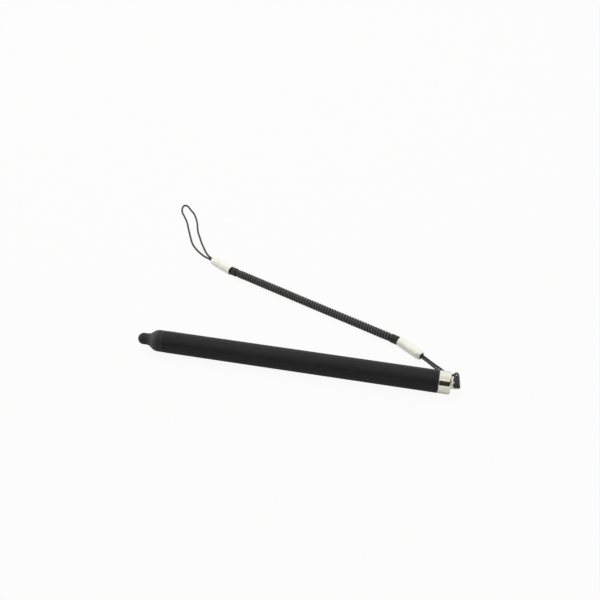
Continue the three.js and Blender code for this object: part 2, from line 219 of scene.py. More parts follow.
COIL_BETWEEN = (
    (30.6, 26.15, 0.13), (26.4, 27.9, 0.05), (21.6, 29.85, 0.0), (13.5, 33.0, 0.0),
    (4.1, 36.7, 0.0), (-5.6, 40.5, 0.0), (-14.6, 44.1, 0.0), (-22.0, 47.0, 0.0),
    (-27.0, 48.95, 0.05), (-31.9, 50.8, 0.13),
)
STRAP_ROUTE = (
    (53.05, 13.15, 2.2), (55.3, 10.8, 2.7), (57.45, 8.6, 3.25), (59.3, 6.85, 3.45), (61.1, 5.6, 3.7),
    (62.5, 4.85, 4.1), (63.15, 4.3, 5.3), (63.7, 3.45, 6.85), (64.2, 2.2, 7.75), (64.52, 0.5, 7.85),
    (64.7, -1.0, 7.38), (64.85, -1.85, 6.5), (65.05, -2.05, 5.75), (65.3, -2.0, 5.1), (65.2, -1.8, 4.58),
    (64.88, -1.42, 4.34), (64.55, -0.6, 4.32), (64.48, 0.3, 4.32), (64.4, 1.15, 4.4), (64.2, 1.85, 5.2),
    (63.8, 2.1, 6.2), (63.38, 1.75, 7.1), (63.2, 0.5, 7.62), (63.5, -1.2, 7.32), (63.85, -1.85, 6.2),
    (64.0, -1.95, 5.2), (63.95, -1.78, 4.55), (63.75, -1.38, 4.2), (63.52, -0.8, 4.18), (63.46, 0.2, 4.2),
    (63.4, 1.4, 4.0), (63.3, 2.6, 3.7), (63.1, 3.4, 3.35), (62.72, 4.1, 2.95), (61.4, 5.05, 2.7),
    (59.5, 5.62, 2.95), (57.3, 7.05, 3.3), (54.9, 9.42, 2.88), (52.4, 12.18, 2.4),
)
LOOP_ROUTE = (
    (-55.0, 61.85, 1.6), (-57.3, 63.8, 0.85), (-59.6, 65.8, 0.52), (-63.0, 69.0, 0.5), (-66.1, 72.9, 0.5),
    (-68.8, 78.1, 0.5), (-71.8, 84.4, 0.5), (-74.4, 89.9, 0.5), (-77.3, 94.6, 0.5), (-79.5, 98.0, 0.5),
    (-80.6, 101.5, 0.5), (-80.3, 104.1, 0.5), (-78.8, 104.0, 0.5), (-75.9, 100.9, 0.5), (-73.2, 97.8, 0.5),
    (-71.0, 94.1, 0.5), (-69.15, 90.3, 0.5), (-67.55, 85.8, 0.5), (-65.95, 82.0, 0.5), (-63.9, 78.1, 0.5),
    (-61.7, 74.0, 0.5), (-59.1, 69.7, 0.52), (-57.0, 66.4, 0.85), (-54.9, 63.4, 1.6),
)


# ---- surfaces


def placed(name, data):
    """A new object in the scene, from a mesh, a light or a camera."""
    thing = bpy.data.objects.new(name, data)
    bpy.context.scene.collection.objects.link(thing)
    return thing


def mesh_object(name, points, faces, uv=None):
    """A mesh object from an array of points in metres and arrays of quads and triangles, shaded smooth."""
    mesh = bpy.data.meshes.new(name)
    corners = np.concatenate([f.reshape(-1) for f in faces]).astype(np.int32)
    sizes = np.concatenate([np.full(len(f), f.shape[1]) for f in faces]).astype(np.int32)
    starts = np.concatenate([[0], np.cumsum(sizes)[:-1]]).astype(np.int32)
    mesh.vertices.add(len(points))
    mesh.vertices.foreach_set("co", np.asarray(points, np.float32).reshape(-1))
    mesh.loops.add(len(corners))
    mesh.loops.foreach_set("vertex_index", corners)
    mesh.polygons.add(len(sizes))
    mesh.polygons.foreach_set("loop_start", starts)
    mesh.update(calc_edges=True)
    mesh.polygons.foreach_set("use_smooth", np.ones(len(sizes), bool))
    if uv is not None:
        layer = mesh.uv_layers.new(name="UVMap")
        layer.data.foreach_set("uv", np.asarray(uv, np.float32).reshape(-1))
    mesh.validate()
    return placed(name, mesh)


def unit(vectors):
    """Each row of an array, brought to a length of one."""
    return vectors / np.linalg.norm(vectors, axis=1)[:, None]


def run_along(line):
    """The length run along a line up to each of its points."""
    return np.concatenate([[0], np.cumsum(np.linalg.norm(np.diff(line, axis=0), axis=1))])


def length_of(line):
    """A line's whole length."""
    return float(np.linalg.norm(np.diff(line, axis=0), axis=1).sum())


def runs_clockwise(profile):
    """Whether a closed line of (radius, distance) runs clockwise, which makes twice the area inside it negative."""
    r, x = profile.T
    return np.sum(r * np.roll(x, -1) - np.roll(r, -1) * x) < 0


def ring_faces(rings, sides, closed):
    """Quads between rings of points that follow each other, the last one back to the first where closed, and the
    ring and the side that each quad starts from."""
    last = rings if closed else rings - 1
    i, j = np.meshgrid(np.arange(last), np.arange(sides), indexing="ij")
    k, n = (i + 1) % rings, (j + 1) % sides
    quads = np.stack([i * sides + j, i * sides + n, k * sides + n, k * sides + j], axis=-1)
    return quads.reshape(-1, 4), i, j


def pole_fans(rings, sides):
    """Triangles from the first ring to a pole, the point that follows all rings, and from the last ring to the
    next point after it."""
    n = np.arange(sides)
    after = (n + 1) % sides
    pole, last = rings * sides, (rings - 1) * sides
    return [
        np.stack([np.full(sides, pole), after, n], axis=1),
        np.stack([np.full(sides, pole + 1), last + n, last + after], axis=1),
    ]


def quad_uv(run, i, j, sides):
    """UV at the corners of the quads between rings: share of the turn, and length run up to the ring."""
    u = np.stack([j, j + 1, j + 1, j], axis=-1).reshape(-1, 4) / sides
    v = np.stack([run[i], run[i], run[i + 1], run[i + 1]], axis=-1).reshape(-1, 4)
    return np.stack([u, v], axis=-1).reshape(-1, 2)


def rounded(corners, radii, steps=5):
    """A line through corners, with an arc of each corner's own radius in its place. A little before and after
    each arc comes one more point, so that smooth shading stays in the arc. Each arc is the circle that touches
    both edges, taken from one touching point to the other by an angle that grows evenly. It takes up less than
    half of either edge, and a corner that is nearly straight has none."""
    edge_share, nearly_straight = 0.45, np.pi / 2 - 0.02
    lead_share, lead_of_edge, least_lead = 0.3, 0.04, 0.02
    corners = np.asarray(corners, float)
    points = [corners[:1]]
    for before, here, after, r in zip(corners[:-2], corners[1:-1], corners[2:], radii[1:-1]):
        a, b = before - here, after - here
        la, lb = np.linalg.norm(a), np.linalg.norm(b)
        a, b = a / la, b / lb
        half = np.arccos(np.clip(a @ b, -1, 1)) / 2
        if r <= 0 or half > nearly_straight:
            points.append(here[None])
            continue
        reach = min(r / np.tan(half), edge_share * la, edge_share * lb)
        r = reach * np.tan(half)
        centre = here + (a + b) / np.linalg.norm(a + b) * r / np.sin(half)
        p, q = here + a * reach - centre, here + b * reach - centre
        sweep = np.pi - 2 * half
        t = np.linspace(0, 1, steps + 1)[:, None]
        arc = centre + (np.sin((1 - t) * sweep) * p + np.sin(t * sweep) * q) / np.sin(sweep)
        lead = min(lead_share * reach, lead_of_edge * min(la, lb) + least_lead)
        points += [(here + a * (reach + lead))[None], arc, (here + b * (reach + lead))[None]]
    points.append(corners[-1:])
    return np.concatenate(points)


def smooth_line(points, count, steps_per_span=80):
    """Points evenly spaced along the centripetal Catmull-Rom curve through the given ones: between two of them
    the curve is the Hermite cubic whose slopes come from the neighbours, weighted by the square roots of the
    spans. Past both ends the curve goes on as if the end span were mirrored."""
    p = np.asarray(points, float)
    p = np.vstack([2 * p[0] - p[1], p, 2 * p[-1] - p[-2]])
    span = np.sqrt(np.linalg.norm(np.diff(p, axis=0), axis=1))[:, None]
    p0, p1, p2, p3 = p[:-3], p[1:-2], p[2:-1], p[3:]
    d0, d1, d2 = span[:-2], span[1:-1], span[2:]
    m1 = ((p1 - p0) / d0 - (p2 - p0) / (d0 + d1) + (p2 - p1) / d1) * d1
    m2 = ((p2 - p1) / d1 - (p3 - p1) / (d1 + d2) + (p3 - p2) / d2) * d1
    t = np.linspace(0, 1, steps_per_span, endpoint=False)[:, None, None]
    fine = (
        (2 * t**3 - 3 * t**2 + 1) * p1 + (t**3 - 2 * t**2 + t) * m1
        + (3 * t**2 - 2 * t**3) * p2 + (t**3 - t**2) * m2
    )
    fine = np.vstack([fine.transpose(1, 0, 2).reshape(-1, p.shape[1]), p[-2:-1]])
    run = run_along(fine)
    even = np.linspace(0, run[-1], count)
    return np.stack([np.interp(even, run, fine[:, k]) for k in range(p.shape[1])], axis=1)


def turned_piece(name, profile, sides, place=(0, 0, AXIS_HEIGHT), heading=0.0):
    """A turned piece: each profile point (radius, distance), in millimetres, goes round the piece's axis, so a
    point is (distance, radius times the cosine of the angle, radius times its sine). A profile that starts and
    ends on the axis gets a pole there, and any other closes on itself. The axis is laid along a heading."""
    profile = np.asarray(profile, float)
    poles = profile[0, 0] < 1e-6 and profile[-1, 0] < 1e-6
    line = profile[1:-1] if poles else profile
    turn = np.linspace(0, 2 * np.pi, sides, endpoint=False)[None, :]
    r, x = line[:, :1], line[:, 1:]
    points = np.stack([x + 0 * turn, r * np.cos(turn), r * np.sin(turn)], axis=-1).reshape(-1, 3)
    quads, i, j = ring_faces(len(line), sides, not poles)
    faces = [quads]
    uv = [quad_uv(run_along(np.vstack([line, line[:1]])), i, j, sides)]
    if poles:
        points = np.vstack([points, [profile[0, 1], 0, 0], [profile[-1, 1], 0, 0]])
        faces += pole_fans(len(line), sides)
        uv.append(np.zeros((6 * sides, 2)))
    if runs_clockwise(profile):
        faces = [f[:, ::-1] for f in faces]
        uv = [w.reshape(-1, k, 2)[:, ::-1].reshape(-1, 2) for w, k in zip(uv, (4, 3))]
    a = np.radians(heading)
    spin = np.array([[np.cos(a), -np.sin(a), 0], [np.sin(a), np.cos(a), 0], [0, 0, 1]])
    points = points @ spin.T + np.asarray(place, float)
    return mesh_object(name, points * MM, faces, np.concatenate(uv))


def frames_along(line):
    """Tangent, and two directions square to it and to each other, at each point of a line. The first direction is
    carried from point to point with the least turning: at each step its part along the new tangent is taken
    out and what is left is brought back to unit length."""
    tangent = unit(np.gradient(line, axis=0))
    first = np.zeros_like(line)
    carried = np.cross(tangent[0], [0.0, 0.0, 1.0])
    for i, along in enumerate(tangent):
        carried = carried - along * (carried @ along)
        carried /= np.linalg.norm(carried)
        first[i] = carried
    return tangent, first, np.cross(tangent, first)


def tube(name, line, radius, first, second, tangent, end_rings=3):
    """A tube: at each point of the line a ring of points, line plus radius times (cosine of the angle times the
    first direction plus sine times the second). The radius may change over the ring and along the line. Both
    ends are closed by half a ball, whose rings go out along the tangent by radius times the sine of an angle
    and close in by its cosine. UV is (share of the turn, length in millimetres)."""
    sides = radius.shape[1]
    turn = np.linspace(0, 2 * np.pi, sides, endpoint=False)[None, :, None]
    ring = np.cos(turn) * first[:, None, :] + np.sin(turn) * second[:, None, :]
    mean = radius.mean(axis=1)
    bow = np.linspace(np.pi / 2, 0, end_rings + 2)[1:-1, None, None]
    head, tail = (
        line[end] + (np.cos(angle) * radius[end][:, None] * ring[end] + way * np.sin(angle) * mean[end] * tangent[end])
        for end, way, angle in ((0, -1, bow), (-1, 1, bow[::-1]))
    )
    grid = np.concatenate([head, line[:, None, :] + radius[:, :, None] * ring, tail])
    rings = len(grid)
    points = np.vstack([grid.reshape(-1, 3), line[0] - mean[0] * tangent[0], line[-1] + mean[-1] * tangent[-1]])
    quads, i, j = ring_faces(rings, sides, False)
    run = run_along(grid.mean(axis=1))
    n = np.arange(sides)
    u = np.stack([n + 0.5, n, n + 1], axis=1) / sides
    fan_uv = [np.stack([u, np.full_like(u, v)], axis=-1).reshape(-1, 2) for v in (0, run[-1])]
    uv = np.concatenate([quad_uv(run, i, j, sides), *fan_uv])
    return mesh_object(name, points * MM, [quads, *pole_fans(rings, sides)], uv)


# ---- places of the tether's pieces


def heading_vector(degrees):
    """A direction in the floor's plane, at an angle from X."""
    a = np.radians(degrees)
    return np.array([np.cos(a), np.sin(a), 0.0])


def ferrule_ends(middle, heading, mouth_side):
    """The mouth and the coil's side of a ferrule, half its length either way from its middle."""
    along = heading_vector(heading) * FERRULE_LENGTH / 2
    centre = np.array([middle[0], middle[1], TETHER_HEIGHT])
    return centre + along * mouth_side, centre - along * mouth_side


LOWER_MOUTH, LOWER_COIL_SIDE = ferrule_ends(LOWER_MIDDLE, LOWER_HEADING, -1)
UPPER_MOUTH, UPPER_COIL_SIDE = ferrule_ends(UPPER_MIDDLE, UPPER_HEADING, 1)


def collar_place(coil_side, collar):
    """A collar's shoulder, off its ferrule's end along its own heading and a little aside."""
    along = heading_vector(collar["heading"])
    aside = np.array([-along[1], along[0], 0.0])
    return coil_side + along * collar["stand_off"] + aside * collar["aside"]


LOWER_SHOULDER = collar_place(LOWER_COIL_SIDE, LOWER_COLLAR)
UPPER_SHOULDER = collar_place(UPPER_COIL_SIDE, UPPER_COLLAR)


def smooth_step(share):
    """Nothing up to 0, whole from 1 on, and in between three times the square less twice the cube."""
    share = np.clip(share, 0, 1)
    return share * share * (3 - 2 * share)


def coil_lines(radius, wire, steps_per_turn=18):
    """The wound cord's line and its directions off the coil. At a distance s along the coil's middle line the cord is
    off it by the radius, to the side by the cosine and upwards by the sine of an angle that grows evenly with s. Near
    both ends the radius narrows to fit the collar by one smooth step, shrinks to nothing by another, and the
    cord runs straight."""
    depth = COLLAR_FLOOR - PLUG_LENGTH + COIL_END_ROOM
    low, high = heading_vector(LOWER_COLLAR["heading"]), heading_vector(UPPER_COLLAR["heading"])
    near = [LOWER_SHOULDER + low * d for d in (depth, 0, LOWER_COLLAR["length"])]
    far = [UPPER_SHOULDER + high * d for d in (UPPER_COLLAR["length"], 0, depth)]
    between = np.array(COIL_BETWEEN) + [0.0, 0.0, radius + wire / 2 + COIL_LIFT]
    route = np.vstack([near, between, far])
    total = length_of(smooth_line(route, 2000))
    wound = total - 2 * COIL_END_RUN
    turns = round((wound - COIL_LEAD) / COIL_PITCH)
    base = smooth_line(route, turns * steps_per_turn + 1)
    s = np.linspace(0, total, len(base))
    tangent = unit(np.gradient(base, axis=0))
    side = unit(np.cross([0.0, 0.0, 1.0], tangent))
    up = np.cross(tangent, side)
    from_end = np.minimum(s, total - s) - COIL_END_RUN
    neck = smooth_step(from_end / COIL_LEAD)
    wide = smooth_step((from_end - COIL_NECK_END) / COIL_NECK_LEAD)
    reach = (COIL_NECK_RADIUS * neck + (radius - COIL_NECK_RADIUS) * wide)[:, None]
    angle = (2 * np.pi * turns * (s - COIL_END_RUN) / wound)[:, None]
    out = side * np.cos(angle) + up * np.sin(angle)
    return base + reach * out, out


def strand_start(mouth, outward, side):
    """Three points of a strand at a ferrule's mouth: in the knot, at the mouth and a lead further out."""
    lateral = np.array([-outward[1], outward[0], 0.0]) * side * STRAND_SPACING / 2
    return [mouth + lateral + outward * d for d in (-KNOT_DEPTH, 0.0, STRAND_LEAD)]


def knotted_line(mouth, heading, route, count):
    """A cord's line: out of the ferrule on one side, round its route and back in on the other side."""
    outward = heading_vector(heading)
    start = strand_start(mouth, outward, 1)
    finish = strand_start(mouth, outward, -1)[::-1]
    return smooth_line(np.vstack([start, route, finish]), count)


# ---- shared shader groups


class Nodes:
    """Short ways to place and link nodes in one tree."""

    def __init__(self, tree):
        self.tree = tree

    def feed(self, socket, value):
        """Links another node's output to a socket, or sets the socket's own value."""
        if isinstance(value, bpy.types.NodeSocket):
            self.tree.links.new(value, socket)
        else:
            socket.default_value = value

    def add(self, kind, links=None, **settings):
        """A node with its settings made and its inputs fed."""
        node = self.tree.nodes.new(kind)
        for key, value in settings.items():
            setattr(node, key, value)
        for key, value in (links or {}).items():
            self.feed(node.inputs[key], value)
        return node

    def group(self, tree, **links):
        """A shared group's node with its inputs fed."""
        named = {key.replace("_", " "): value for key, value in links.items()}
        return self.add("ShaderNodeGroup", named, node_tree=tree).outputs

    def math(self, operation, *values, clamp=False):
        """A sum, product or other function of one or two values."""
        return self.add("ShaderNodeMath", dict(enumerate(values)), operation=operation, use_clamp=clamp).outputs[0]

    def ramp(self, value, low, high, to_low=0.0, to_high=1.0):
        """A smooth step from one value to another while the given one goes from low to high."""
        links = {"Value": value, "From Min": low, "From Max": high, "To Min": to_low, "To Max": to_high}
        return self.add("ShaderNodeMapRange", links, interpolation_type="SMOOTHSTEP").outputs[0]

    def tint(self, factor, a, b):
        """A colour between two others."""
        return self.add("ShaderNodeMix", {0: factor, 6: a, 7: b}, data_type="RGBA").outputs[2]

    def noise(self, vector, scale, detail):
        """The value of a noise texture."""
        return self.add("ShaderNodeTexNoise", {"Vector": vector, "Scale": scale, "Detail": detail}).outputs[0]


def new_group(name, inputs, outputs):
    """A node group with a vector input, value inputs with their defaults, and value outputs."""
    group = bpy.data.node_groups.new(name, "ShaderNodeTree")
    group.interface.new_socket(name="Vector", in_out="INPUT", socket_type="NodeSocketVector")
    for socket_name, value in inputs.items():
        socket = group.interface.new_socket(name=socket_name, in_out="INPUT", socket_type="NodeSocketFloat")
        socket.default_value = value
    for socket_name in outputs:
        group.interface.new_socket(name=socket_name, in_out="OUTPUT", socket_type="NodeSocketFloat")
    n = Nodes(group)
    return group, n, n.add("NodeGroupInput").outputs, n.add("NodeGroupOutput").inputs


def made_once(build):
    """A builder of a node group that hands out the group of its own name once that is there."""
    return lambda: bpy.data.node_groups.get(build.__name__) or build()


@made_once
def moulded_grain():
    """Fine grain of a moulded or sprayed surface, and broad patches: noise of two sizes."""
    group, n, given, out = new_group("moulded_grain", {"Grain Size": 0.0002}, ("Height", "Patches"))
    scale = n.math("DIVIDE", 1.0, given["Grain Size"])
    broad = n.noise(given["Vector"], n.math("MULTIPLY", scale, 0.05), 4.0)
    n.feed(out["Height"], n.noise(given["Vector"], scale, 3.0))
    n.feed(out["Patches"], n.ramp(broad, 0.3, 0.7))
    return group


@made_once
def handling_marks():
    """Marks of handling: hairline scratches that run mostly round the piece, and soft smears. A scratch is what is
    left of a noise that is stretched along one direction, where it comes near its greatest values."""
    group, n, given, out = new_group("handling_marks", {"Scratch Density": 0.3}, ("Scratches", "Smears"))
    lines = 0.0
    for turn, across in HAIRLINES:
        scale = (across, HAIRLINE_ALONG, HAIRLINE_ALONG)
        links = {"Vector": given["Vector"], "Rotation": (0.0, turn, turn), "Scale": scale}
        stretched = n.add("ShaderNodeMapping", links).outputs[0]
        lines = n.math("MAXIMUM", lines, n.ramp(n.noise(stretched, 1.0, 1.0), 0.72, 0.8))
    n.feed(out["Scratches"], n.math("MULTIPLY", lines, given["Scratch Density"]))
    n.feed(out["Smears"], n.ramp(n.noise(given["Vector"], 260.0, 3.0), 0.42, 0.68))
    return group


@made_once
def rim_rub():
    """Rubbing at a turned piece's ends: a mask that grows towards two places along X, broken up by noise."""
    group, n, given, out = new_group("rim_rub", {"First End": 0.0, "Second End": 0.1, "Width": 0.001}, ("Mask",))
    x = n.add("ShaderNodeSeparateXYZ", {"Vector": given["Vector"]}).outputs[0]
    masks = []
    for end in ("First End", "Second End"):
        away = n.math("ABSOLUTE", n.math("SUBTRACT", x, given[end]))
        masks.append(n.math("SUBTRACT", 1.0, n.math("DIVIDE", away, given["Width"]), clamp=True))
    broken = n.ramp(n.noise(given["Vector"], 1500.0, 4.0), 0.35, 0.65)
    n.feed(out["Mask"], n.math("MULTIPLY", n.math("MAXIMUM", *masks), broken))
    return group


@made_once
def braided_yarns():
    """Braid of a thin cord from its UV: two sets of slanting yarns, a = n u + v and b = n u - v, where the one on
    top changes from cell to cell like a chess board. The height is the size of the sine of the top yarn's own
    phase, and the fibres are a quicker sine of the same phase."""
    counts = {"Yarns": float(YARNS), "Cells Per Millimetre": BRAID_CELLS}
    group, n, given, out = new_group("braided_yarns", counts, ("Height", "Fibre"))
    place = n.add("ShaderNodeSeparateXYZ", {"Vector": given["Vector"]}).outputs
    round_part = n.math("MULTIPLY", place[0], given["Yarns"])
    along = n.math("MULTIPLY", place[1], given["Cells Per Millimetre"])
    yarns = [n.math(way, round_part, along) for way in ("ADD", "SUBTRACT")]
    over = n.math("PINGPONG", n.math("ADD", *(n.math("FLOOR", yarn) for yarn in yarns)), 1.0)
    ridges, fibres = (
        [n.math("SINE", n.math("MULTIPLY", yarn, waves * np.pi)) for yarn in yarns] for waves in (1, FIBRE_WAVES)
    )
    ridges = [n.math("ABSOLUTE", ridge) for ridge in ridges]
    top, fibre = (
        n.add("ShaderNodeMix", {0: over, 2: first, 3: second}, data_type="FLOAT").outputs[0]
        for first, second in (ridges, fibres)
    )
    n.feed(out["Height"], top)
    n.feed(out["Fibre"], n.ramp(fibre, -1.0, 1.0))
    return group


# ---- materials


def new_material(name, **plain):
    """A material with a Principled shader whose plain values are set on its own sockets, and its nodes."""
    material = bpy.data.materials.new(name)
    material.use_nodes = True
    shader = material.node_tree.nodes["Principled BSDF"]
    for key, value in plain.items():
        shader.inputs[key.replace("_", " ")].default_value = value
    return material, Nodes(material.node_tree), shader.inputs


def object_place(n):
    """Object coordinates."""
    return n.add("ShaderNodeTexCoord").outputs["Object"]


def shade(colour, factor):
    """A linear colour as four values, its brightness multiplied."""
    return (colour[0] * factor, colour[1] * factor, colour[2] * factor, 1.0)


def coat(n, shader, tone, roughness, height, strength, depth):
    """Gives a shader its tone, its roughness, and a bump from a height whose depth is in millimetres."""
    links = {"Height": height, "Strength": strength, "Distance": depth * MM}
    n.feed(shader["Base Color"], tone)
    n.feed(shader["Roughness"], roughness)
    n.feed(shader["Normal"], n.add("ShaderNodeBump", links).outputs[0])


def satin_barrel(colour):
    """Satin black coat: fine sprayed grain, patches of slightly other gloss, rubbed rims."""
    material, n, shader = new_material("satin_barrel", Specular_IOR_Level=0.1)
    v = object_place(n)
    grain = n.group(moulded_grain(), Vector=v, Grain_Size=0.12 * MM)
    marks = n.group(handling_marks(), Vector=v, Scratch_Density=0.5)
    front, rear = (NOSE_SEAM_X + RUBBED_RIM_INSET) * MM, (CAP_SEAM_X - RUBBED_RIM_INSET) * MM
    rub = n.group(rim_rub(), Vector=v, First_End=front, Second_End=rear, Width=0.5 * MM)
    tone = n.tint(grain["Patches"], shade(colour, 2.6), shade(colour, 3.1))
    tone = n.tint(n.math("MULTIPLY", rub["Mask"], 0.5), tone, shade(colour, 6.0))
    rough = n.ramp(grain["Patches"], 0.0, 1.0, 0.36, 0.42)
    rough = n.math("ADD", rough, n.math("MULTIPLY", marks["Smears"], 0.05))
    height = n.math("ADD", grain["Height"], n.math("MULTIPLY", marks["Scratches"], -0.6))
    coat(n, shader, tone, rough, height, 0.25, 0.01)
    return material


def nose_rubber(colour):
    """Matt moulded rubber: grain, a painted highlight as a paler ring round the neck and flare, a shinier used touch
    end.
    """
    material, n, shader = new_material("moulded_rubber", Specular_IOR_Level=0.3)
    v = object_place(n)
    grain = n.group(moulded_grain(), Vector=v, Grain_Size=0.16 * MM)
    x = n.add("ShaderNodeSeparateXYZ", {"Vector": v}).outputs[0]
    used, growing, fading = (
        n.ramp(x, (TIP_X + start) * MM, (TIP_X + end) * MM) for start, end in (WORN_END, NECK_HIGHLIGHT_GROWS, NECK_HIGHLIGHT_FADES)
    )
    tone = n.tint(grain["Patches"], shade(colour, 0.95), shade(colour, 1.15))
    # Painted highlight: the neck and flare are lightened where light falls on the concave flare
    tone = n.tint(n.math("MULTIPLY", growing, fading), tone, shade(colour, 3.2))
    rough = n.ramp(grain["Patches"], 0.0, 1.0, 0.56, 0.64)
    rough = n.math("SUBTRACT", rough, n.math("MULTIPLY", used, 0.1))
    coat(n, shader, tone, rough, grain["Height"], 0.35, 0.015)
    return material


def bright_plating(colour, name, roughness, brightness=1.0, metallic=1.0, scratches=0.8):
    """Bright plating: a warm tint, hairline scratches and soft smears in its gloss."""
    material, n, shader = new_material(name, Metallic=metallic)
    marks = n.group(handling_marks(), Vector=object_place(n), Scratch_Density=scratches)
    tone = n.tint(marks["Smears"], shade(colour, brightness), shade(colour, 0.95 * brightness))
    rough = n.ramp(marks["Smears"], 0.0, 1.0, roughness, roughness + 0.05)
    rough = n.math("ADD", rough, n.math("MULTIPLY", marks["Scratches"], 0.12))
    coat(n, shader, tone, rough, marks["Scratches"], 0.12, 0.004)
    return material


def turned_steel():
    """Turned steel of the hidden core: fine rings from the tool along X."""
    material, n, shader = new_material("turned_steel", Metallic=1.0)
    v = object_place(n)
    waves = {"Vector": v, "Scale": 900.0, "Distortion": 0.6}
    rings = n.add("ShaderNodeTexWave", waves, bands_direction="X").outputs[1]
    marks = n.group(handling_marks(), Vector=v, Scratch_Density=0.4)
    steel = RECORD_COLOURS["core_steel"]
    tone = n.tint(marks["Smears"], shade(steel, 0.94), shade(steel, 1.0))
    coat(n, shader, tone, n.ramp(rings, 0.0, 1.0, 0.26, 0.36), rings, 0.2, 0.01)
    return material


def braided_cord(colour):
    """Braided cord: yarns with their own fibres, painted shade in the grooves between the yarns, a soft sheen."""
    material, n, shader = new_material(
        "braided_cord", Specular_IOR_Level=0.35, Sheen_Weight=0.22, Sheen_Roughness=0.4
    )
    uv = n.add("ShaderNodeUVMap", uv_map="UVMap").outputs[0]
    yarns = n.group(braided_yarns(), Vector=uv)
    # Painted shade: the tone darkens where the yarns dip, in the grooves between them
    shaded_grooves = n.tint(yarns["Height"], shade(colour, 0.8), shade(colour, 2.2))
    tone = n.tint(n.math("MULTIPLY", yarns["Fibre"], 0.35), shaded_grooves, shade(colour, 3.4))
    height = n.math("ADD", yarns["Height"], n.math("MULTIPLY", yarns["Fibre"], 0.25))
    coat(n, shader, tone, n.ramp(yarns["Fibre"], 0.0, 1.0, 0.55, 0.72), height, 0.6, 0.04)
    return material


def shrunk_sleeve(colour):
    """Shrunk black sleeve: smooth, with a very fine grain and patches of slightly other gloss."""
    material, n, shader = new_material("shrunk_sleeve")
    grain = n.group(moulded_grain(), Vector=object_place(n), Grain_Size=0.1 * MM)
    tone = n.tint(grain["Patches"], shade(colour, 0.85), shade(colour, 1.25))
    coat(n, shader, tone, n.ramp(grain["Patches"], 0.0, 1.0, 0.38, 0.5), grain["Height"], 0.2, 0.01)
    return material


def coil_jacket(colour):
    """Satin plastic jacket of the coiled cord: even, a little cloudy, with a fine grain along the cord."""
    material, n, shader = new_material("coil_jacket", Specular_IOR_Level=0.4)
    grain = n.group(moulded_grain(), Vector=object_place(n), Grain_Size=0.14 * MM)
    uv = n.add("ShaderNodeUVMap", uv_map="UVMap").outputs[0]
    drawn = n.add("ShaderNodeMapping", {"Vector": uv, "Scale": (24.0, 0.25, 1.0)}).outputs[0]
    lines = n.noise(drawn, 1.0, 2.0)
    tone = n.tint(grain["Patches"], shade(colour, 1.25), shade(colour, 1.55))
    height = n.math("ADD", n.math("MULTIPLY", grain["Height"], 0.5), lines)
    coat(n, shader, tone, n.ramp(lines, 0.3, 0.7, 0.46, 0.6), height, 0.12, 0.01)
    return material


def dress(piece, material, slot_name, body, *nodes):
    """Gives a piece its material, lets it ride on its body, unless that is None, and stand for its solids."""
    piece.data.materials.clear()
    piece.data.materials.append(material)
    if body is not None:
        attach(piece, body)
    if nodes:
        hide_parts(*nodes)


# ---- operators, one for each piece or like group


class BuildNose(bpy.types.Operator):
    """Builds the hollow rubber nose and finishes the metal core inside it"""

    bl_idname = "stylus.build_nose"
    bl_label = "Rubber nose and core"

    def execute(self, context):
        """The outer line is an arc of the ball and a smooth line through the neck and flare. The inner line goes from
        the core's seat through the rooms of its stem and barb to the dome behind the touch end."""
        finishes = context.scene.stylus_finishes
        end = NOSE_SEAM_X - TIP_X - SEAM_GAP / 2
        a = np.radians(np.linspace(0, BALL_ARC, 22))
        ball = np.stack([BALL_RADIUS * np.sin(a), BALL_RADIUS * (1 - np.cos(a))], axis=1)
        flare = smooth_line(np.vstack([ball[[-4, -1]], NECK_AND_FLARE, [(NOSE_RADIUS, FLARE_END)]]), 60)
        rim = rounded(
            [
                (NOSE_RADIUS, FLARE_END), (NOSE_RADIUS, end), (CORE_SEAT_RADIUS, end),
                (CORE_SEAT_RADIUS, FLARE_END), (STEM_ROOM_RADIUS, FLARE_END), (STEM_ROOM_RADIUS, STEM_ROOM_END),
            ],
            [0, 0.25, 0.1, 0.1, 0.1, 0],
        )
        d = np.radians(np.linspace(90, 0, 9))
        dome = np.stack([DOME_RADIUS * np.sin(d), BALL_RADIUS - DOME_RADIUS * np.cos(d)], axis=1)
        profile = np.vstack([ball[:-4], flare, rim[1:], BARB_ROOM, dome])
        nose = turned_piece("rubber_nose", profile, NOSE_SIDES, (TIP_X, 0, AXIS_HEIGHT))
        dress(nose, nose_rubber(finishes.nose_rubber), "nose_rubber", "pen", "conductive_tip")
        dress(frame["nodes"]["tip_core"], turned_steel(), "core_steel", None)
        return {"FINISHED"}


class BuildBarrel(bpy.types.Operator):
    """Builds the black barrel tube"""

    bl_idname = "stylus.build_barrel"
    bl_label = "Barrel"

    def execute(self, context):
        """A closed line round the tube's wall, turned about the pen's axis."""
        radius = context.scene.stylus_sizes.barrel_diameter / 2 / MM
        bore = BARREL_BORE_RADIUS
        front = NOSE_SEAM_X + SEAM_GAP / 2
        rear = CAP_SEAM_X - SEAM_GAP / 2
        middle = [(radius, x) for x in np.linspace(front, rear, 12)[1:-1]]
        line = [(bore, 0), (bore, front), (radius, front), *middle, (radius, rear), (bore, rear), (bore, 0)]
        rounds = [0, 0.12, 0.25, *[0] * len(middle), 0.25, 0.12, 0]
        barrel = turned_piece("barrel_tube", rounded(line, rounds)[:-1], PEN_SIDES)
        finish = satin_barrel(context.scene.stylus_finishes.barrel_black)
        dress(barrel, finish, "barrel_black", "pen", "barrel")
        return {"FINISHED"}


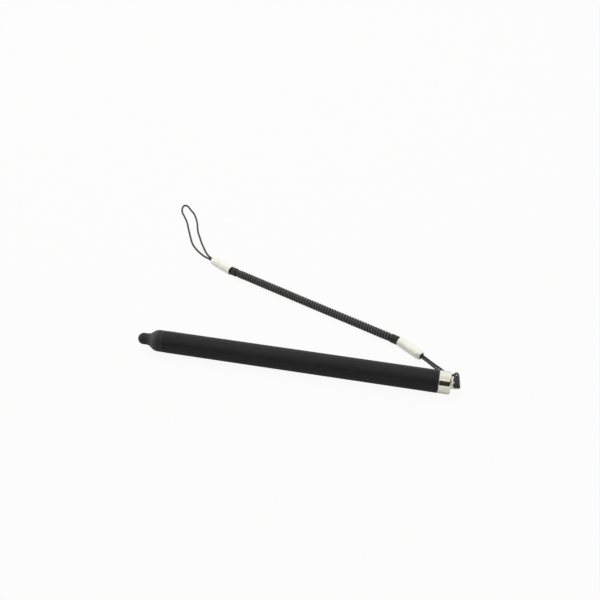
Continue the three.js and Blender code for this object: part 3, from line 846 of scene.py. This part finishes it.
def ear_surface():
    """The ear: a tongue with an eye. For each direction round the eye, a rounded oblong section reaches from the
    eye's wall to the tongue's outline. A point is the eye's middle plus the direction times a distance between
    the two. Over the section's turn the distance follows a low power of the cosine and the thickness a low
    power of the sine, which squares the section off."""
    reach_power, thickness_power = 0.28, 0.36
    a = np.radians(np.linspace(-90, 90, 40))
    corner_x = EAR_TIP_X - EAR_CORNER
    drop = EAR_HALF_HEIGHT - EAR_CORNER
    arc = np.stack([corner_x + EAR_CORNER * np.cos(a), drop * np.sign(a) + EAR_CORNER * np.sin(a)], axis=1)
    root = CAP_REAR_X - EAR_ROOT_DEPTH
    high = EAR_HALF_HEIGHT
    low = np.linspace((root, -high), (corner_x, -high), 14)[:-1]
    top = np.linspace((corner_x, high), (root, high), 14)[1:]
    back = np.linspace((root, high), (root, -high), 13)[1:-1]
    away = np.vstack([low, arc, top, back]) - np.array([EYE_X, 0.0])
    far = np.linalg.norm(away, axis=1)[:, None]
    direction = away / far
    t = np.linspace(0, 2 * np.pi, 48, endpoint=False)[None, :]
    c, s = np.cos(t), np.sin(t)
    wide = np.sign(c) * np.abs(c) ** reach_power
    thick = np.sign(s) * np.abs(s) ** thickness_power * EAR_THICKNESS / 2
    reach = (far + EYE_RADIUS) / 2 + wide * (far - EYE_RADIUS) / 2
    x = EYE_X + direction[:, :1] * reach
    z = AXIS_HEIGHT + direction[:, 1:] * reach
    return np.stack([x, thick + 0 * reach, z], axis=-1)


class BuildCap(bpy.types.Operator):
    """Builds the plated end cap and its ear with the eye"""

    bl_idname = "stylus.build_cap"
    bl_label = "End cap and ear"

    def execute(self, context):
        """The cap's line runs from the axis over the spigot with its groove, the shoulder and the rounded rear edge
        to the axis."""
        shoulder = CAP_SEAM_X + SEAM_GAP / 2
        front = shoulder - SPIGOT_LENGTH
        line = [
            (0, front), (SPIGOT_RADIUS, front), *((radius, front + x) for radius, x in GROOVE),
            (SPIGOT_RADIUS, shoulder), (CAP_RADIUS, shoulder), (CAP_RADIUS, CAP_REAR_X), (0, CAP_REAR_X),
        ]
        profile = rounded(line, [0, 0.4, 0.1, 0.1, 0.1, 0.1, 0.05, 0.18, 0.8, 0], 8)
        cap = turned_piece("plated_cap", profile, PEN_SIDES)
        plating = bright_plating(context.scene.stylus_finishes.chrome, "bright_plating", 0.09)
        dress(cap, plating, "chrome", "pen", "end_cap")
        grid = ear_surface()
        quads = ring_faces(*grid.shape[:2], True)[0]
        ear = mesh_object("cap_ear", grid.reshape(-1, 3) * MM, [quads])
        dress(ear, plating, "chrome", "pen")
        return {"FINISHED"}


class BuildFerrules(bpy.types.Operator):
    """Builds the two metal ferrules"""

    bl_idname = "stylus.build_ferrules"
    bl_label = "Ferrules"

    def execute(self, context):
        """A closed line round the ferrule's wall, tapered at the mouth, turned about the ferrule's axis."""
        radius = context.scene.stylus_sizes.ferrule_diameter / 2 / MM
        length, bore = FERRULE_LENGTH, FERRULE_BORE_RADIUS
        line = [
            (bore, length / 2), (bore, length), (radius, length), (radius, length / 2), (radius, FERRULE_TAPER),
            *FERRULE_MOUTH, (bore, length / 2),
        ]
        profile = rounded(line, [0, 0.08, 0.16, 0, 1.2, 0.22, 0.1, 0.1, 0.1, 0], 6)[:-1]
        chrome = context.scene.stylus_finishes.chrome
        plating = bright_plating(chrome, "ferrule_plating", 0.42, 1.17, metallic=0.45, scratches=0.15)
        lower = turned_piece("lower_ferrule_tube", profile, FERRULE_SIDES, LOWER_MOUTH, LOWER_HEADING)
        dress(lower, plating, "chrome", "tether_pen_side", "lower_ferrule")
        upper = turned_piece("upper_ferrule_tube", profile, FERRULE_SIDES, UPPER_MOUTH, UPPER_HEADING + 180)
        dress(upper, plating, "chrome", "tether_device_side", "upper_ferrule")
        return {"FINISHED"}


class BuildCollars(bpy.types.Operator):
    """Builds the two black sleeves at the coil's ends"""

    bl_idname = "stylus.build_collars"
    bl_label = "Collars"

    def execute(self, context):
        """A line round the cup and its hollow plug, from the axis back to the axis, turned about the collar's axis."""
        sleeve = shrunk_sleeve(context.scene.stylus_finishes.collar_black)
        for name, node, body, place, collar in (
            ("lower_sleeve", "lower_collar", "tether_pen_side", LOWER_SHOULDER, LOWER_COLLAR),
            ("upper_sleeve", "upper_collar", "tether_device_side", UPPER_SHOULDER, UPPER_COLLAR),
        ):
            length = collar["length"]
            line = [
                (0, -PLUG_LENGTH), (PLUG_RADIUS, -PLUG_LENGTH), (PLUG_RADIUS, 0), (COLLAR_RADIUS, 0),
                (COLLAR_RADIUS, length / 2), (COLLAR_RADIUS, length), (COLLAR_BORE, length),
                (COLLAR_BORE, COLLAR_FLOOR), (PLUG_BORE, COLLAR_FLOOR), (PLUG_BORE, COLLAR_FLOOR - PLUG_LENGTH),
                (0, COLLAR_FLOOR - PLUG_LENGTH),
            ]
            profile = rounded(line, [0, 0.25, 0.05, 0.25, 0, 0.07, 0.06, 0.1, 0.1, 0.1, 0], 6)
            piece = turned_piece(name, profile, FERRULE_SIDES, place, collar["heading"])
            dress(piece, sleeve, "collar_black", body, node)
        return {"FINISHED"}


class BuildCoil(bpy.types.Operator):
    bl_idname = "stylus.build_coil"
    bl_label = "Coiled cord"

    def execute(self, context):
        """A round tube about the wound line, its rings turned so that their first direction points off the coil."""
        sizes = context.scene.stylus_sizes
        wire = sizes.coil_wire / MM
        line, out = coil_lines(sizes.coil_radius / MM, wire)
        tangent = unit(np.gradient(line, axis=0))
        first = unit(out - tangent * np.sum(out * tangent, axis=1)[:, None])
        second = np.cross(tangent, first)
        coil = tube("coiled_tether", line, np.full((len(line), COIL_SIDES), wire / 2), first, second, tangent)
        dress(coil, coil_jacket(context.scene.stylus_finishes.coil_jacket), "coil_jacket", None, "coil_cord")
        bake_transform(coil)
        return {"FINISHED"}


def braid_radius(line, radius, relief, sides):
    """The cord's radius over its surface: two sets of slanting yarns, on top by turns, each rounded like a sine."""
    guard = 1e-6
    run = run_along(line)[:, None]
    turn = np.linspace(0, 1, sides, endpoint=False)[None, :]
    a, b = YARNS * turn + BRAID_CELLS * run, YARNS * turn - BRAID_CELLS * run
    over = (np.floor(a + guard) + np.floor(b + guard)) % 2
    ridge = np.abs(np.sin(np.pi * np.where(over > 0.5, b, a)))
    return radius * (1 - relief + relief * ridge)


class BuildCords(bpy.types.Operator):
    """Builds the strap at the eye and the device loop, with their knots"""

    bl_idname = "stylus.build_cords"
    bl_label = "Strap, device loop and knots"

    def execute(self, context):
        """Each cord is one tube from its knot round its route and back, with the braid in its radius. Each knot is a
        turned egg with five low lobes along it."""
        sizes = context.scene.stylus_sizes
        diameter = sizes.cord_diameter / MM
        finish = braided_cord(context.scene.stylus_finishes.thin_cord)
        a = np.linspace(0, np.pi, 17)
        lobes = 1 + KNOT_LOBE_HEIGHT * np.sin(KNOT_LOBES * a)
        knot_line = np.stack([KNOT_RADIUS * np.sin(a) * lobes, -KNOT_HALF_LENGTH * np.cos(a)], axis=1)
        for name, node, mouth, heading, route, body, count in (
            ("strap_cord", "pen_strap", LOWER_MOUTH, LOWER_HEADING + 180, STRAP_ROUTE, "tether_pen_side", 560),
            ("loop_cord", "device_loop", UPPER_MOUTH, UPPER_HEADING, LOOP_ROUTE, "tether_device_side", 900),
        ):
            line = knotted_line(mouth, heading, route, count)
            tangent, first, second = frames_along(line)
            radius = braid_radius(line, diameter / 2, sizes.braid_relief, CORD_SIDES)
            cord = tube(name, line, radius, first, second, tangent)
            dress(cord, finish, "thin_cord", None, node)
            outward = heading_vector(heading)
            knot_place = mouth - outward * KNOT_DEPTH
            knot = turned_piece(name.replace("cord", "knot"), knot_line, CORD_SIDES, knot_place, heading)
            dress(knot, finish, "thin_cord", body)
            if node == "pen_strap":
                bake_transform(cord)
            else:
                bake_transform(cord)
        return {"FINISHED"}


CAMERA_PLACE = (0.04869, -0.22265, 0.22728)
CAMERA_AZIMUTH = 11.7616
CAMERA_ELEVATION = 40.0
CAMERA_LENS = 47.69
FLOOR_HALF = 4.0
FLAG_CORNERS = ((-1.1, -1.3), (1.5, -1.3), (1.5, 0.3))
FLAG_DISTANCE = 1.3
FLAG_ANGLES = (8, 58)
AMBIENT_STRENGTH = 0.7
WHITE = (1.0, 1.0, 1.0, 1.0)
SOFTBOX_TARGET = (0, 0.03, 0)
SOFTBOXES = (
    ("overhead_softbox", (-0.15, 0.25, 0.9), 0.9, 4.0),
    ("side_softbox", (0.8, -0.35, 0.55), 0.5, 0.8),
)


def stage_plane(name, corners, material):
    """A stage object of one quad, which is no part of the stylus."""
    mesh = bpy.data.meshes.new(name)
    mesh.from_pydata(corners, [], [(0, 1, 2, 3)])
    mesh.materials.append(material)
    plane = placed(name, mesh)
    return plane


def seen_directly(n, *kinds):
    """The Light Path node's outputs, and a mask of the rays of these kinds: one where a ray is of any of them."""
    path = n.add("ShaderNodeLightPath").outputs
    seen = path[f"Is {kinds[0]} Ray"]
    for kind in kinds[1:]:
        seen = n.math("MAXIMUM", seen, path[f"Is {kind} Ray"])
    return path, seen


def pale_floor():
    """Pale floor: white where seen or mirrored, with a share of plain diffuse that keeps the object's shadow."""
    material = bpy.data.materials.new("pale_floor")
    material.use_nodes = True
    tree = material.node_tree
    tree.nodes.remove(tree.nodes["Principled BSDF"])
    n = Nodes(tree)
    path, direct = seen_directly(n, "Camera", "Transmission")
    share = n.math("MAXIMUM", n.math("MULTIPLY", direct, 0.93), n.math("MULTIPLY", path["Is Glossy Ray"], 0.2))
    diffuse = n.add("ShaderNodeBsdfDiffuse", {"Color": (0.76, 0.76, 0.76, 1.0)}).outputs[0]
    glow = n.add("ShaderNodeEmission", {"Color": WHITE, "Strength": 1.0}).outputs[0]
    mixed = n.add("ShaderNodeMixShader", {0: share, 1: diffuse, 2: glow}).outputs[0]
    n.feed(tree.nodes["Material Output"].inputs[0], mixed)
    return material


def dark_felt():
    """Dark felt of the flags, with a fine mottle."""
    material, n, shader = new_material("dark_felt", Roughness=0.9)
    grain = n.group(moulded_grain(), Vector=object_place(n), Grain_Size=4 * MM)
    tone = n.tint(grain["Height"], (0.026, 0.026, 0.024, 1.0), (0.042, 0.042, 0.038, 1.0))
    n.feed(shader["Base Color"], tone)
    return material


def add_softbox(name, place, size, power):
    """A square soft light that looks at the stylus and isn't mirrored in the plating."""
    light = bpy.data.lights.new(name, "AREA")
    light.shape = "RECTANGLE"
    light.size = light.size_y = size
    light.energy = power
    lamp = placed(name, light)
    lamp.location = place
    lamp.rotation_euler = (Vector(SOFTBOX_TARGET) - Vector(place)).to_track_quat("-Z", "Y").to_euler()
    lamp.visible_glossy = False


def studio_world():
    """A white world, warmer high up and dimmer overhead, that lights the scene less than it shows."""
    world = bpy.data.worlds.new("studio_white")
    world.use_nodes = True
    n = Nodes(world.node_tree)
    seen = seen_directly(n, "Camera", "Glossy", "Transmission")[1]
    toward = n.add("ShaderNodeTexCoord").outputs["Generated"]
    height = n.add("ShaderNodeSeparateXYZ", {"Vector": toward}).outputs[2]
    warm = n.tint(n.ramp(height, 0.35, 0.8), WHITE, (1.0, 0.995, 0.93, 1.0))
    ceiling = n.tint(n.ramp(height, 0.9, 0.98), warm, (0.82, 0.82, 0.77, 1.0))
    background = world.node_tree.nodes["Background"].inputs
    n.feed(background["Color"], ceiling)
    n.feed(background["Strength"], n.ramp(seen, 0.0, 1.0, AMBIENT_STRENGTH, 1.0))
    return world


def photo_camera():
    """The camera, at the photo's azimuth and elevation."""
    data = bpy.data.cameras.new("camera")
    data.lens = CAMERA_LENS
    data.sensor_width = 36.0
    data.clip_start = 0.01
    data.clip_end = 20.0
    camera = placed("camera", data)
    a, e = np.radians(CAMERA_AZIMUTH), np.radians(CAMERA_ELEVATION)
    ahead = Vector((-np.sin(a) * np.cos(e), np.cos(a) * np.cos(e), -np.sin(e)))
    camera.matrix_world = Matrix.Translation(CAMERA_PLACE) @ ahead.to_track_quat("-Z", "Y").to_matrix().to_4x4()
    return camera


class BuildStage(bpy.types.Operator):
    """Sets the floor, the dark flags, the soft lights, the world and the camera"""

    bl_idname = "stylus.build_stage"
    bl_label = "Stage, lights and camera"

    def execute(self, context):
        """The flags stand in front of the pen and beside it, far off, and only show as dark bands in the plating. They
        reach from a low to a high angle above the floor, so their heights are the distance times the tangents."""
        scene = context.scene
        half = FLOOR_HALF
        stage_plane("floor", [(-half, -half, 0), (half, -half, 0), (half, half, 0), (-half, half, 0)], pale_floor())
        low, high = (FLAG_DISTANCE * np.tan(np.radians(angle)) for angle in FLAG_ANGLES)
        felt = dark_felt()
        for name, a, b in zip(("front_flag", "side_flag"), FLAG_CORNERS, FLAG_CORNERS[1:]):
            stage_plane(name, [(*a, low), (*a, high), (*b, high), (*b, low)], felt).visible_camera = False
        for softbox in SOFTBOXES:
            add_softbox(*softbox)
        scene.world = studio_world()
        scene.camera = photo_camera()
        scene.view_settings.view_transform = "Standard"
        return {"FINISHED"}


PIECE_OPERATORS = (BuildNose, BuildBarrel, BuildCap, BuildFerrules, BuildCollars, BuildCoil, BuildCords, BuildStage)


class StylusPanel(bpy.types.Panel):
    """Lists the stylus's sizes, finishes and builders"""

    bl_idname = "VIEW3D_PT_stylus"
    bl_label = "Tethered stylus"
    bl_space_type = "VIEW_3D"
    bl_region_type = "UI"
    bl_category = "Stylus"

    def draw(self, context):
        """Two boxes of properties, and a button for each builder."""
        layout = self.layout
        for group in (context.scene.stylus_sizes, context.scene.stylus_finishes):
            box = layout.box()
            for name in group.__annotations__:
                box.prop(group, name)
        for operator in PIECE_OPERATORS:
            layout.operator(operator.bl_idname)


CLASSES = (StylusSizes, StylusFinishes, *PIECE_OPERATORS, StylusPanel)


def register():
    """Makes the properties, the builders and the panel known to Blender."""
    for cls in CLASSES:
        bpy.utils.register_class(cls)
    bpy.types.Scene.stylus_sizes = bpy.props.PointerProperty(type=StylusSizes)
    bpy.types.Scene.stylus_finishes = bpy.props.PointerProperty(type=StylusFinishes)


def unregister():
    """Takes them out again, in the opposite order."""
    del bpy.types.Scene.stylus_finishes
    del bpy.types.Scene.stylus_sizes
    for cls in reversed(CLASSES):
        bpy.utils.unregister_class(cls)


def main():
    """Builds the stage and all pieces."""
    register()
    bpy.ops.stylus.build_stage()
    bpy.ops.stylus.build_nose()
    bpy.ops.stylus.build_barrel()
    bpy.ops.stylus.build_cap()
    bpy.ops.stylus.build_ferrules()
    bpy.ops.stylus.build_collars()
    bpy.ops.stylus.build_coil()
    bpy.ops.stylus.build_cords()


if __name__ == "__main__":
    main()
